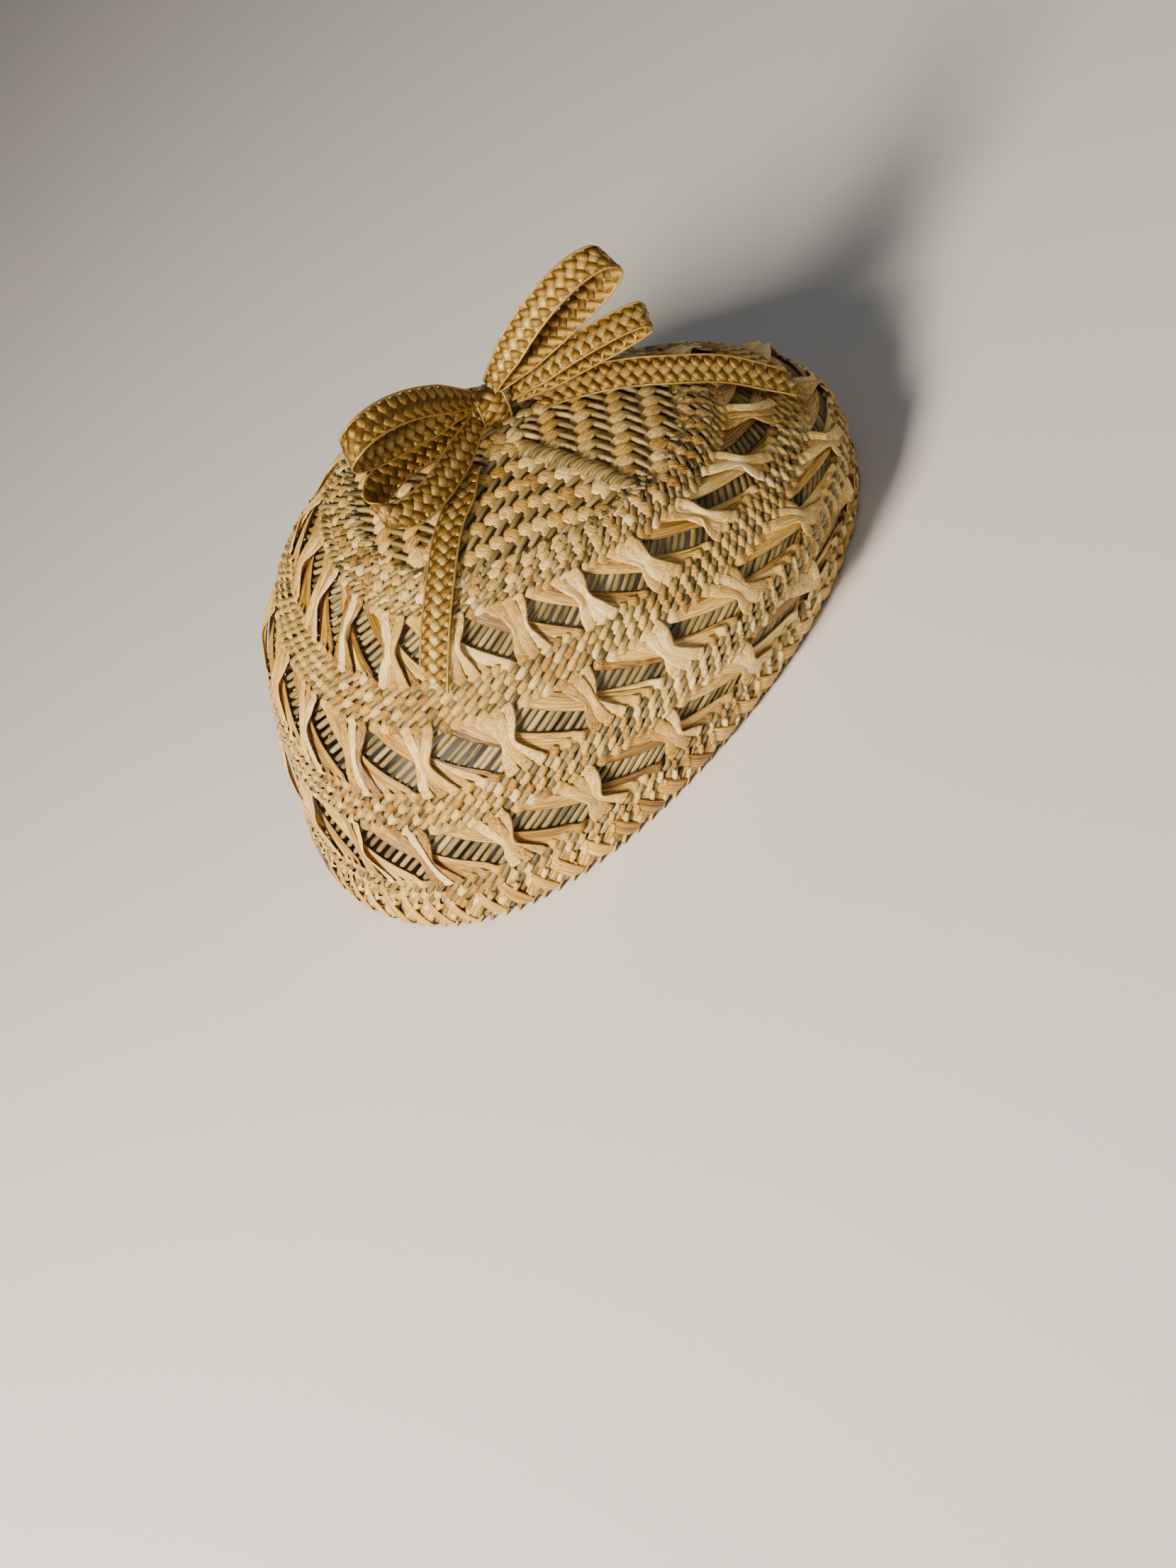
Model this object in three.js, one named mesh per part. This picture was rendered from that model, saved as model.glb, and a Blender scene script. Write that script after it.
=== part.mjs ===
// A plaited straw hat: a lopsided dome with a twill top, three rings of openwork and a plaited
// rim, and a double bow of gold braid tied over the middle of the plait.
//
// Millimetres and degrees. The rim lies on the plane z = 0, the wearer's front is -Y and the
// origin is under the middle of the hat's box. An angle goes round the plait from +X,
// anticlockwise from above. An arc runs over the straw from the plait's middle to the rim.

import * as THREE from "three";
import { NURBSCurve } from "three/addons/curves/NURBSCurve.js";

// The meridian of the plait before it leans, as the control points of a smooth curve.
const MERIDIAN = [
  { place: "middle of the plait", radius: 0, height: 104.5 },
  { place: "top", radius: 52, height: 104.5 },
  { place: "shoulder", radius: 79, height: 78.5 },
  { place: "upper side", radius: 106.5, height: 56 },
  { place: "lower side", radius: 107.5, height: 22 },
  { place: "rim", radius: 108.5, height: -2 },
];
const CROWN_HEIGHT = MERIDIAN[0].height;

// The plan: how far each lobe stands out, as a share of the radius, and the angle it points to.
const OVAL = { share: 0.092, toward: 43, lobes: 2 };
const EGG = { share: 0.054, toward: 64, lobes: 3 };
const CORNERS = { share: 0.051, toward: 7, lobes: 4 }; // the square top, gone at the rim

// The crown leans over the rim, and the rim's plane slopes against the plait's middle.
const LEAN = new THREE.Vector2(16.6, 6.6);
const RIM_SLOPE = new THREE.Vector2(0.238, 0.282);
const SLOPE_START = 0.3; // share of the arc above which the plait isn't sloped at all
const SLOPE_CURVE = 1.5;
const PLAN_SHIFT = new THREE.Vector2(0.6, -6.07);

// The straw: rush stakes with straw strips over and under them.
const WALL = 3;
const GAP = 0.3;
const CROSSINGS = 20; // crossed bunches of strips round each ring of openwork
const TOP_ARCS = [9, 20, 32, 44, 56];
const TOP_COLUMNS = 2 * CROSSINGS;
const SIDE_COLUMNS = 4 * CROSSINGS;
const OPENWORK = [
  { ring: "upper", middle: 80, window_angle: 1 },
  { ring: "middle", middle: 114, window_angle: 31 },
  { ring: "lower", middle: 148, window_angle: 63 },
];
const OPENWORK_HALF = 12;
const WINDOW_HALF_LENGTH = 8.5; // along the arc, from a window's middle to its pointed end
const WINDOW_STRAIGHT_HALF = 4;
const WINDOW_SLANT = 1.29; // degrees round the hat for each millimetre of arc
const BORDER_START = 164;

// The plaited border: how far it stands out of the wall's outer face, and its inner face.
const BORDER = [
  { share: 0, out: 0, inside: 3 },
  { share: 0.4, out: 0.9, inside: 3.9 },
  { share: 1, out: 0.6, inside: 3.6 },
];

// The bow: where the knot sits on the plait, the plan direction that the loops are measured
// from, and the turn of the knot's own barrel from it.
const BRAID_WIDTH = 10.5;
const BRAID_THICKNESS = 1.4;
const KNOT = { angle: 145, arc: 13.5, lift: 7.6, heading: 43, turn: 27 };
const KNOT_LENGTH = 12;
const KNOT_HALF_HEIGHT = 7.2;
const KNOT_HALF_DEPTH = 6.4;
const KNOT_SIDES = 14;
const KNOT_END = 0.8; // share of the radius at the knot's two ends
const KNOT_STRAIGHT = 0.6; // share of the length that is as wide as the knot's middle
const LOOP_STEPS = 30;
const ROOT_WIDTH = 0.62; // share of the braid's width where the knot gathers it
const GATHER_LENGTH = 14; // from the knot to where the braid is flat again
const LEG_GAP = 2.4; // between the middles of a loop's two legs at the knot

// Each loop is half a figure of eight of braid. azimuth turns it round the knot from the bow's
// heading, rise lifts it off the crown and roll turns the braid's flat face about the loop's
// own line. start is where it leaves the knot, and side and up its place there. open and shear
// part its two legs, across and along the braid's width, and droop bends its tip down.
const LOOPS = [
  {
    name: "bow_loop_right_upper",
    ...{ azimuth: 11, rise: 36, roll: 48, start: 4.6, side: -3.5, up: 5.4 },
    ...{ length: 61.5, open: 4.6, shear: 3.2, droop: 5.4 },
  },
  {
    name: "bow_loop_right_lower",
    ...{ azimuth: 0, rise: 21, roll: 27, start: 8.7, side: 2, up: -2.4 },
    ...{ length: 61.5, open: 3.2, shear: -0.6, droop: 3.4 },
  },
  {
    name: "bow_loop_left_upper",
    ...{ azimuth: -128, rise: 26.6, roll: 124, start: 7.2, side: 0, up: 3 },
    ...{ length: 59, open: -6.4, shear: 3.4, droop: 7 },
  },
  {
    name: "bow_loop_left_lower",
    ...{ azimuth: -123, rise: 4.9, roll: 125, start: 8.2, side: 0, up: -1.8 },
    ...{ length: 58.5, open: 3.4, shear: 6.8, droop: 3 },
  },
];

// The tails lie on the straw. lift is the height of the braid's middle over the wall, and roll
// stands the edge on the side of the rising angle up off it. cut is how much further that edge
// reaches at the slanted end.
const TAIL_STEPS = 16;
const TAILS = [
  {
    name: "bow_tail_front",
    cut: 8,
    route: [
      { angle: 266, arc: 14.5, lift: 1.7, roll: 0 },
      { angle: 283, arc: 25, lift: 1.7, roll: 0 },
      { angle: 287, arc: 38, lift: 1.8, roll: 0 },
      { angle: 292, arc: 59, lift: 1.8, roll: 0 },
      { angle: 294, arc: 89, lift: 1.6, roll: 0 },
    ],
  },
  {
    name: "bow_tail_back",
    cut: -5,
    route: [
      { angle: 90, arc: 18, lift: 3.4, roll: 20 },
      { angle: 73, arc: 31, lift: 4.6, roll: 36 },
      { angle: 62, arc: 52, lift: 4.9, roll: 38 },
      { angle: 58, arc: 78, lift: 4.6, roll: 34 },
      { angle: 54, arc: 100, lift: 3, roll: 14 },
    ],
  },
];

const radians = THREE.MathUtils.degToRad;
const clamp = THREE.MathUtils.clamp;

const meridian = new NURBSCurve(
  3,
  [0, 0, 0, 0, 1, 2, 3, 3, 3, 3],
  MERIDIAN.map(({ radius, height }) => new THREE.Vector4(radius, 0, height, 1)),
);
meridian.arcLengthDivisions = 600;
const ARC_LENGTH = meridian.getLength();
const RIM_NORMAL = new THREE.Vector3(-RIM_SLOPE.x, -RIM_SLOPE.y, 1).normalize();
const LEVEL = new THREE.Quaternion().setFromUnitVectors(RIM_NORMAL, new THREE.Vector3(0, 0, 1));
const RIM_LIFT = -MERIDIAN.at(-1).height * RIM_NORMAL.z;

// A lobe's share of the radius at an angle.
function lobe({ share, toward, lobes }, angle) {
  return share * Math.cos(lobes * radians(angle - toward));
}

// A point of the straw's outer face: the meridian turned to the angle, leant over and sloped,
// then turned so that the rim's plane is level.
function strawPoint(angle, arc) {
  const along = clamp(arc / ARC_LENGTH, 0, 1);
  const { x: radius, z: height } = meridian.getPointAt(along);
  const plan = 1 + lobe(OVAL, angle) + lobe(EGG, angle) + (1 - along) * lobe(CORNERS, angle);
  const lean = Math.max(height / CROWN_HEIGHT, 0);
  const x = radius * plan * Math.cos(radians(angle)) + LEAN.x * lean;
  const y = radius * plan * Math.sin(radians(angle)) + LEAN.y * lean;
  const sloped = clamp((along - SLOPE_START) / (1 - SLOPE_START), 0, 1) ** SLOPE_CURVE;
  const z = height + sloped * (RIM_SLOPE.x * x + RIM_SLOPE.y * y);
  return new THREE.Vector3(x, y, z)
    .applyQuaternion(LEVEL)
    .add(new THREE.Vector3(PLAN_SHIFT.x, PLAN_SHIFT.y, RIM_LIFT));
}

// The straw's outward direction, from small steps along and across the arc.
function strawNormal(angle, arc) {
  const step = 0.4;
  const near = clamp(arc, step, ARC_LENGTH - step);
  const turn = 0.5;
  const outward = strawPoint(angle, near + step).sub(strawPoint(angle, near - step));
  const round = strawPoint(angle + turn, near).sub(strawPoint(angle - turn, near));
  return outward.cross(round).normalize();
}

// A point above the straw's outer face, or inside it where the lift is below zero.
function overStraw(angle, arc, lift) {
  return strawPoint(angle, arc).addScaledVector(strawNormal(angle, arc), lift);
}

function geometryOf(points, triangles) {
  const geometry = new THREE.BufferGeometry().setFromPoints(points);
  geometry.setIndex(triangles.flat());
  geometry.computeVertexNormals();
  return geometry;
}

// Two skins joined by a wall along each edge that only one face has: the rim and the windows.
function closedWall(outer, inner, faces) {
  const count = outer.length;
  const edges = new Set(faces.flatMap(([a, b, c]) => [`${a},${b}`, `${b},${c}`, `${c},${a}`]));
  const triangles = faces.flatMap(([a, b, c]) => [
    [a, b, c],
    [c + count, b + count, a + count],
  ]);
  for (const edge of edges) {
    const [a, b] = edge.split(",").map(Number);
    if (edges.has(`${b},${a}`)) continue;
    triangles.push([b, a, a + count], [b, a + count, b + count]);
  }
  return geometryOf([...outer, ...inner], triangles);
}

// One ring of places at an arc, with its columns turned by twist.
function ringOf(places, columns, arc, twist) {
  const first = places.length;
  for (let column = 0; column < columns; column++) {
    places.push({ angle: (360 * column) / columns + twist, arc });
  }
  return (column) => first + ((column + columns) % columns);
}

// The faces between two rings with as many columns, leaving out what skip asks for.
function bandFaces(upper, lower, columns, skip = () => false) {
  const faces = [];
  for (let column = 0; column < columns; column++) {
    if (skip(column)) continue;
    faces.push([upper(column), lower(column), lower(column + 1)]);
    faces.push([upper(column), lower(column + 1), upper(column + 1)]);
  }
  return faces;
}

// The top, from the plait's middle out to the first ring of openwork.
function topFaces(places, side, twist) {
  const middle = places.push({ angle: 0, arc: 0 }) - 1;
  const rings = TOP_ARCS.map((arc) => ringOf(places, TOP_COLUMNS, arc, twist));
  const faces = [];
  for (let column = 0; column < TOP_COLUMNS; column++) {
    faces.push([middle, rings[0](column), rings[0](column + 1)]);
  }
  for (let ring = 1; ring < rings.length; ring++) {
    faces.push(...bandFaces(rings[ring - 1], rings[ring], TOP_COLUMNS));
  }
  const last = rings.at(-1);
  for (let column = 0; column < TOP_COLUMNS; column++) {
    const between = side(2 * column + 1);
    faces.push([last(column), side(2 * column), between]);
    faces.push([last(column), between, last(column + 1)]);
    faces.push([last(column + 1), between, side(2 * column + 2)]);
  }
  return faces;
}

// A ring of openwork: four columns to a crossing, with a slanted lens cut out of each.
function openworkFaces(rows) {
  const [start, head, upper, lower, foot, end] = rows;
  const inWindow = (column) => column % 4 === 0 || column % 4 === 3;
  const faces = [
    ...bandFaces(start, head, SIDE_COLUMNS),
    ...bandFaces(head, upper, SIDE_COLUMNS, inWindow),
    ...bandFaces(upper, lower, SIDE_COLUMNS, inWindow),
    ...bandFaces(lower, foot, SIDE_COLUMNS, inWindow),
    ...bandFaces(foot, end, SIDE_COLUMNS),
  ];
  for (let middle = 0; middle < SIDE_COLUMNS; middle += 4) {
    faces.push([head(middle - 1), upper(middle - 1), head(middle)]);
    faces.push([head(middle), upper(middle + 1), head(middle + 1)]);
    faces.push([lower(middle - 1), foot(middle - 1), foot(middle)]);
    faces.push([lower(middle + 1), foot(middle), foot(middle + 1)]);
  }
  return faces;
}

// The straw from the plait's middle to the border: the twill top and the openwork side.
function strawBody() {
  const places = [];
  const faces = [];
  const offsets = [
    -OPENWORK_HALF,
    -WINDOW_HALF_LENGTH,
    -WINDOW_STRAIGHT_HALF,
    WINDOW_STRAIGHT_HALF,
    WINDOW_HALF_LENGTH,
    OPENWORK_HALF,
  ];
  const topTwist = OPENWORK[0].window_angle - OPENWORK_HALF * WINDOW_SLANT;
  const rings = [];
  for (const { middle, window_angle } of OPENWORK) {
    const rows = offsets.map((offset) =>
      ringOf(places, SIDE_COLUMNS, middle + offset, window_angle + offset * WINDOW_SLANT),
    );
    faces.push(...openworkFaces(rows));
    if (rings.length) faces.push(...bandFaces(rings.at(-1), rows[0], SIDE_COLUMNS));
    rings.push(rows[0], rows.at(-1));
  }
  const lastTwist = OPENWORK.at(-1).window_angle + OPENWORK_HALF * WINDOW_SLANT;
  const foot = ringOf(places, SIDE_COLUMNS, BORDER_START - GAP, lastTwist);
  faces.push(...bandFaces(rings.at(-1), foot, SIDE_COLUMNS));
  faces.push(...topFaces(places, rings[0], topTwist));
  const outer = places.map(({ angle, arc }) => overStraw(angle, arc, 0));
  const inner = places.map(({ angle, arc }) => overStraw(angle, arc, -WALL));
  return closedWall(outer, inner, faces);
}

// The plaited border along the rim, with a flat underside on the plane z = 0.
function rimBorder() {
  const outer = [];
  const inner = [];
  const faces = [];
  const height = ARC_LENGTH - BORDER_START;
  const twist = OPENWORK.at(-1).window_angle + OPENWORK_HALF * WINDOW_SLANT;
  const rings = BORDER.map(({ share, out, inside }) => {
    const places = [];
    const first = outer.length;
    const ring = ringOf(places, SIDE_COLUMNS, BORDER_START + share * height, twist);
    for (const { angle, arc } of places) {
      outer.push(overStraw(angle, arc, out));
      inner.push(overStraw(angle, arc, -inside));
    }
    return (column) => first + ring(column);
  });
  for (let ring = 1; ring < rings.length; ring++) {
    faces.push(...bandFaces(rings[ring - 1], rings[ring], SIDE_COLUMNS));
  }
  for (let column = 0; column < SIDE_COLUMNS; column++) {
    outer[rings.at(-1)(column)].z = 0;
    inner[rings.at(-1)(column)].z = 0;
  }
  return closedWall(outer, inner, faces);
}

// A flat braid through its stations. Each has a centre, an across direction and a width, and
// the slant of a cut end.
function braidSolid(stations) {
  const points = [];
  const triangles = [];
  const centres = stations.map(({ centre }) => centre);
  stations.forEach(({ centre, across, width, slant = 0 }, index) => {
    const before = centres[Math.max(index - 1, 0)];
    const after = centres[Math.min(index + 1, centres.length - 1)];
    const forward = after.clone().sub(before).normalize();
    const face = forward.clone().cross(across).normalize();
    const side = face.clone().cross(forward).normalize();
    for (const [u, v] of [[-1, -1], [1, -1], [1, 1], [-1, 1]]) {
      const corner = centre.clone().addScaledVector(side, (u * width) / 2);
      corner.addScaledVector(forward, (u * slant) / 2);
      points.push(corner.addScaledVector(face, (v * BRAID_THICKNESS) / 2));
    }
  });
  const last = 4 * (stations.length - 1);
  triangles.push([0, 2, 1], [0, 3, 2]);
  triangles.push([last, last + 1, last + 2], [last, last + 2, last + 3]);
  for (let from = 0; from < last; from += 4) {
    for (let corner = 0; corner < 4; corner++) {
      const next = (corner + 1) % 4;
      triangles.push([from + corner, from + next, from + 4 + next]);
      triangles.push([from + corner, from + 4 + next, from + 4 + corner]);
    }
  }
  return geometryOf(points, triangles);
}

// A loop in the bow's own frame: x along the bow, z away from the crown.
function bowLoop({ azimuth, rise, roll, start, side, up, length, open, shear, droop }) {
  const level = Math.cos(radians(rise));
  const line = new THREE.Vector3(
    level * Math.cos(radians(azimuth)),
    level * Math.sin(radians(azimuth)),
    Math.sin(radians(rise)),
  );
  const upward = new THREE.Vector3(0, 0, 1);
  const levelSide = upward.clone().cross(line).normalize();
  const top = line.clone().cross(levelSide);
  const across = levelSide.clone().multiplyScalar(Math.cos(radians(roll)));
  across.addScaledVector(top, Math.sin(radians(roll)));
  const face = line.clone().cross(across);
  const stations = [];
  for (let step = 0; step <= LOOP_STEPS; step++) {
    const turn = (Math.PI * step) / LOOP_STEPS;
    const out = start + (length - start) * Math.sin(turn);
    const apart = Math.sin(2 * turn);
    const root = step <= LOOP_STEPS / 2 ? 1 : -1;
    const centre = line.clone().multiplyScalar(out);
    centre.add(new THREE.Vector3(0, side, up));
    centre.addScaledVector(face, open * apart + (root * LEG_GAP * Math.sign(open)) / 2);
    centre.addScaledVector(across, shear * apart);
    centre.addScaledVector(top, -droop * (out / length) ** 2);
    const gathered = clamp((out - start) / GATHER_LENGTH, 0, 1);
    const width = BRAID_WIDTH * THREE.MathUtils.lerp(ROOT_WIDTH, 1, gathered);
    stations.push({ centre, across, width });
  }
  return braidSolid(stations);
}

// A tail laid on the straw along its route, with a slanted end.
function bowTail({ route, cut }) {
  const centre = new THREE.CatmullRomCurve3(
    route.map(({ angle, arc, lift }) => overStraw(angle, arc, lift)),
  );
  const outward = new THREE.CatmullRomCurve3(
    route.map(({ angle, arc }) => strawNormal(angle, arc)),
  );
  const rolls = new THREE.SplineCurve(route.map(({ roll }, row) => new THREE.Vector2(row, roll)));
  const stations = [];
  for (let step = 0; step <= TAIL_STEPS; step++) {
    const along = step / TAIL_STEPS;
    const normal = outward.getPoint(along).normalize();
    const across = normal.clone().cross(centre.getTangent(along)).normalize();
    const roll = radians(rolls.getPoint(along).y);
    across.multiplyScalar(Math.cos(roll)).addScaledVector(normal, Math.sin(roll));
    const slant = step === TAIL_STEPS ? cut : 0;
    stations.push({ centre: centre.getPoint(along), across, width: BRAID_WIDTH, slant });
  }
  return braidSolid(stations);
}

// The knot: a turn of braid round the gathered loops, as a barrel along the bow.
function bowKnot() {
  const half = KNOT_LENGTH / 2;
  const profile = [
    new THREE.Vector2(0, -half),
    new THREE.Vector2(KNOT_END, -half),
    new THREE.Vector2(1, -KNOT_STRAIGHT * half),
    new THREE.Vector2(1, KNOT_STRAIGHT * half),
    new THREE.Vector2(KNOT_END, half),
    new THREE.Vector2(0, half),
  ];
  const barrel = new THREE.LatheGeometry(profile, KNOT_SIDES);
  barrel.rotateZ(-Math.PI / 2);
  barrel.scale(1, KNOT_HALF_DEPTH, KNOT_HALF_HEIGHT);
  barrel.rotateZ(radians(KNOT.turn));
  return barrel;
}

const straw = new THREE.MeshStandardMaterial({ color: 0xc6a468, roughness: 0.75, metalness: 0 });
const rimStraw = new THREE.MeshStandardMaterial({ color: 0xbd9a5e, roughness: 0.75, metalness: 0 });
const goldBraid = new THREE.MeshStandardMaterial({ color: 0xa8823a, roughness: 0.4, metalness: 0.2 });

function named(name, geometry, material) {
  const mesh = new THREE.Mesh(geometry, material.clone());
  mesh.name = name;
  return mesh;
}

// The bow's frame: it stands on the crown at the knot, with x along the bow's heading.
function bowFrame() {
  const upward = strawNormal(KNOT.angle, KNOT.arc);
  const turn = radians(KNOT.heading);
  const heading = new THREE.Vector3(Math.cos(turn), Math.sin(turn), 0);
  const side = upward.clone().cross(heading).normalize();
  const along = side.clone().cross(upward);
  const frame = new THREE.Group();
  frame.setRotationFromMatrix(new THREE.Matrix4().makeBasis(along, side, upward));
  frame.position.copy(overStraw(KNOT.angle, KNOT.arc, KNOT.lift));
  return frame;
}

const hat = new THREE.Group();
hat.add(named("straw_body", strawBody(), straw));
hat.add(named("rim_border", rimBorder(), rimStraw));
const bow = bowFrame();
bow.add(named("bow_knot", bowKnot(), goldBraid));
for (const loop of LOOPS) bow.add(named(loop.name, bowLoop(loop), goldBraid));
hat.add(bow);
for (const tail of TAILS) hat.add(named(tail.name, bowTail(tail), goldBraid));

export default hat;
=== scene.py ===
"""A plaited straw hat: rush stakes and straw strips plaited into a leaning dome, with a twill top,
three rings of crossed openwork and a looped rim, and a double bow of gold herringbone braid.

Sizes are in millimetres, and angles in degrees round the plait from +X. An arc runs over the straw
from the plait's middle to the rim, and a lift is the height over the wall's outer face.
"""

import math

import bpy
import numpy as np
from mathutils import Matrix, Vector


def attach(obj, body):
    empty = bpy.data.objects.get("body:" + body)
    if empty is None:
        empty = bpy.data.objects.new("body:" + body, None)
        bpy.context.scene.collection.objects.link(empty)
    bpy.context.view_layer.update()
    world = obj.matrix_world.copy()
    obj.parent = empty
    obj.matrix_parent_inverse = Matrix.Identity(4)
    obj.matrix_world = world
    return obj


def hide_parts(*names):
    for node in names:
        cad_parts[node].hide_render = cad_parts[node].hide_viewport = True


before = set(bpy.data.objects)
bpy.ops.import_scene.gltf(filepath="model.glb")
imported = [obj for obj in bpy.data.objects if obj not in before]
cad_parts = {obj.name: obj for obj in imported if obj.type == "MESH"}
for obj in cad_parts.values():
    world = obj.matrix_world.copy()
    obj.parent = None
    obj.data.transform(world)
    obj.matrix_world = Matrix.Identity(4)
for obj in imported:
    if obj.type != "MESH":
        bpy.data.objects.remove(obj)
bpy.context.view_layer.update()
MM = 0.001
random = np.random.default_rng(11)

# The plait's outer face: the meridian's control points (radius, height), and what bends it.
MERIDIAN = np.array([(0, 104.5), (52, 104.5), (79, 78.5), (106.5, 56), (107.5, 22), (108.5, -2)])
MERIDIAN_KNOTS = np.array([0, 0, 0, 0, 1, 2, 3, 3, 3, 3], float)
LOBES = [  # share of the radius, angle it points to, lobes, whether it fades out at the rim
    (0.092, 43, 2, False),
    (0.054, 64, 3, False),
    (0.051, 7, 4, True),
]
LEAN = np.array([16.6, 6.6])
RIM_SLOPE = np.array([0.238, 0.282])
SLOPE_START = 0.3
SLOPE_CURVE = 1.5
PLAN_SHIFT = np.array([0.6, -6.07])

# The plait: equal numbers of strips and stakes, one of each to a slot.
SLOTS = 120
SLOT_ANGLE = 360 / SLOTS
BUNCH = 3  # strips that cross as one in the openwork
OPENWORK = [(80, 0), (114, 3), (148, 0)]  # arc at the ring's middle, first slot of a crossing
OPENWORK_HALF = 12
PLAIT_START = 52
PLAIT_END = 174.6
TWILL_END = 66
PLAIT_TUCK = 3  # arc over which the plait comes up from under the mat
OPENWORK_EASE = 4  # arc over which the plait opens
BORDER_START = 161
BORDER_EASE = 5
STRIP_TURN = [(54, -14.7), (80, 2.5), (114, 23.5), (148, 46.5), (176, 65.3)]  # arc, angle
STAKE_TURN_RATE = [(54, 0.86), (80, 0.79), (148, 0.75)]  # arc, degrees a millimetre
STRIP_STRETCHES = [  # name, first arc, last arc
    ("upper", PLAIT_START, 97.5),
    ("middle", 97, 131.5),
    ("lower", 131, PLAIT_END),
]
STRIP_SEED = 23
STRIP_LIFT = -1.5  # where a strip's waves are centred
STAKE_LIFT = -1.7
STAKE_LIFT_OPEN = -3.6  # behind the openwork
STRIP_WIDTH = 6.2
STRIP_THICKNESS = 0.6
STRIP_CUP = 0.45
STRIP_GIRTH = [  # arc, share of the strip's width
    (52, 0.6), (64, 0.74), (72, 0.7), (88, 0.7), (94, 0.86), (97, 0.88), (100, 0.86),
    (106, 0.72), (122, 0.72), (128, 0.94), (131, 0.96), (134, 0.94), (140, 0.76), (156, 0.76),
    (163, 0.92), (176, 0.88),
]
STAKE_THICKNESS = 2.15
STAKE_GIRTH = [(52, 0.78), (68, 0.86), (84, 0.92), (176, 0.98)]  # arc, share of the thickness

# The square mat that the plait starts from: four quarters that meet in mitres.
MITRE = 7
MAT_PITCH = 3.75
MAT_REACH = 57.5
SEAM_START = 9
SEAM_END = 53
SEAM_PITCH = 2.7
TUFT_ENDS = 12
CUT_END_SHARE = 0.45  # of the slots that show a stake's cut end

# The bow's braid, its loops and its tails.
BRAID_WIDTH = 10.5
BRAID_STRANDS = 4
BRAID_PERIOD = 17.2
BRAID_STRAND = (3.3, 0.55)  # width and thickness
BRAID_RELIEF = 0.2
BRAID_CORE = 0.4
BRAID_EDGE = 0.8
BRAID_STEP = 0.4
BRAID_INSET = 1.2  # of a strand's turns from the braid's two edges, in all
BRAID_TURN = 0.55  # share of the half width where a strand starts to turn and narrow
BRAID_NARROW = 0.62
KNOT = {"angle": 145, "arc": 13.5, "lift": 7.6, "heading": 43, "turn": 27}
KNOT_HALF_HEIGHT = 6.4
KNOT_HALF_DEPTH = 5.6
ROOT_WIDTH = 0.62
GATHER_LENGTH = 14
LEG_GAP = 2.4
LOOPS = {
    "bow_loop_right_upper": {
        "azimuth": 11, "rise": 36, "roll": 48, "start": 4.6, "side": -3.5, "up": 5.4,
        "length": 61.5, "open": 4.6, "shear": 3.2, "droop": 5.4,
    },
    "bow_loop_right_lower": {
        "azimuth": 0, "rise": 21, "roll": 27, "start": 8.7, "side": 2, "up": -2.4,
        "length": 61.5, "open": 3.2, "shear": -0.6, "droop": 3.4,
    },
    "bow_loop_left_upper": {
        "azimuth": -128, "rise": 26.6, "roll": 124, "start": 7.2, "side": 0, "up": 3,
        "length": 59, "open": -6.4, "shear": 3.4, "droop": 7,
    },
    "bow_loop_left_lower": {
        "azimuth": -123, "rise": 4.9, "roll": 125, "start": 8.2, "side": 0, "up": -1.8,
        "length": 58.5, "open": 3.4, "shear": 6.8, "droop": 3,
    },
}
TAILS = {  # the slant of the cut end, then angle, arc, lift and roll along the straw
    "bow_tail_front": (8, [
        (266, 14.5, 1.7, 0), (283, 25, 1.7, 0), (287, 38, 1.8, 0), (292, 59, 1.8, 0), (294, 89, 1.6, 0),
    ]),
    "bow_tail_back": (-5, [
        (90, 18, 3.4, 20), (73, 31, 4.6, 36), (62, 52, 4.9, 38), (58, 78, 4.6, 34), (54, 100, 3, 14),
    ]),
}

# The camera, from the photograph's view of the hat.
CAMERA_PLACE = (623.47, -174.26, 432.12)
CAMERA_RIGHT = (0.58635, 0.52214, -0.61932)
CAMERA_UP = (-0.20036, 0.83427, 0.51367)
CAMERA_BACK = (0.78489, -0.17710, 0.59379)
FOCAL_PIXELS = 3000
IMAGE_HEIGHT = 2212
SENSOR = 36


def table(rows, at):
    """A short table of two columns, read by straight lines between its rows."""
    places, values = zip(*rows)
    return np.interp(at, places, values)


def ease(share):
    """A smooth step from 0 to 1."""
    share = np.clip(share, 0, 1)
    return share * share * (3 - 2 * share)


def meridian_curve(steps=1500):
    """Arc, radius and height along the meridian, a cubic B-spline through its control points."""
    t = np.linspace(0, MERIDIAN_KNOTS[-1] - 1e-9, steps)[:, None]
    low, high = MERIDIAN_KNOTS[:-1], MERIDIAN_KNOTS[1:]
    basis = ((t >= low) & (t < high)).astype(float)
    for degree in (1, 2, 3):
        count = basis.shape[1] - 1
        first = MERIDIAN_KNOTS[:count]
        first_span = MERIDIAN_KNOTS[degree:degree + count] - first
        last = MERIDIAN_KNOTS[degree + 1:degree + 1 + count]
        last_span = last - MERIDIAN_KNOTS[1:1 + count]
        rising = np.where(first_span > 0, (t - first) / np.where(first_span > 0, first_span, 1), 0)
        falling = np.where(last_span > 0, (last - t) / np.where(last_span > 0, last_span, 1), 0)
        basis = rising * basis[:, :-1] + falling * basis[:, 1:]
    radius, height = (basis @ MERIDIAN).T
    arc = np.concatenate([[0], np.cumsum(np.hypot(np.diff(radius), np.diff(height)))])
    return arc, radius, height


MERIDIAN_CURVE = meridian_curve()
ARC_LENGTH = MERIDIAN_CURVE[0][-1]
RIM_NORMAL = Vector((-RIM_SLOPE[0], -RIM_SLOPE[1], 1)).normalized()
LEVEL = np.array(RIM_NORMAL.rotation_difference(Vector((0, 0, 1))).to_matrix())
RIM_LIFT = -MERIDIAN[-1][1] * RIM_NORMAL.z


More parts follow.
